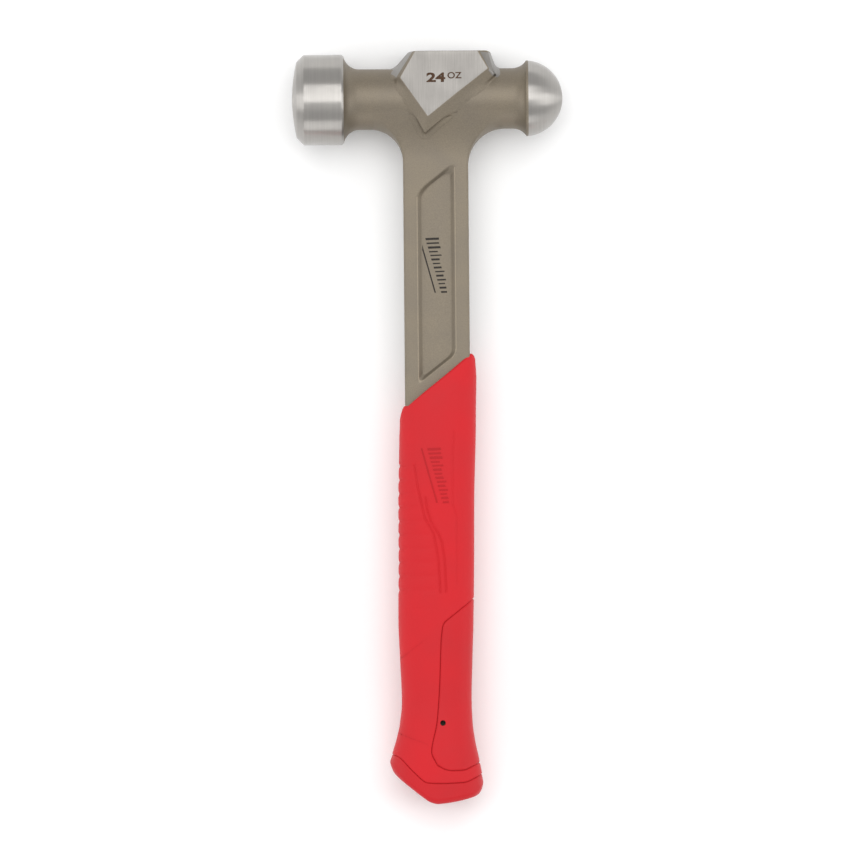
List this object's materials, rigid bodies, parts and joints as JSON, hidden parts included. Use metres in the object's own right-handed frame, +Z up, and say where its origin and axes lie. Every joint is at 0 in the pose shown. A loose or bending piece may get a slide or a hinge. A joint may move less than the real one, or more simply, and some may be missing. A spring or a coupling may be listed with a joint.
{
  "type": "ball peen hammer",
  "caption": "Ball peen hammer with a forged head and I-section shank in one piece, and a moulded grip with finger ribs, an exposed palm panel and a flared butt.",
  "frame": {"origin": "middle of the underside of the box of the hammer lying on its side", "axes": "+Y up the handle to the head, -X to the side of the striking face, +X to the side of the ball, +Z up through the hammer's thickness"},
  "size_m": [0.1168, 0.3251, 0.039],
  "materials": {
    "steel": "forged steel with a matt champagne metallic coat; striking face, ball and cheek pads turned or ground bright",
    "isolator": "soft black elastomer",
    "core": "satin moulded red",
    "overmould": "soft-touch moulded red",
    "cap": "satin moulded red"
  },
  "bodies": {
    "root": {"forged_hammer": "steel", "tang_isolator": "isolator", "grip_core": "core", "grip_overmould": "overmould", "butt_cap": "cap"}
  },
  "joints": []
}
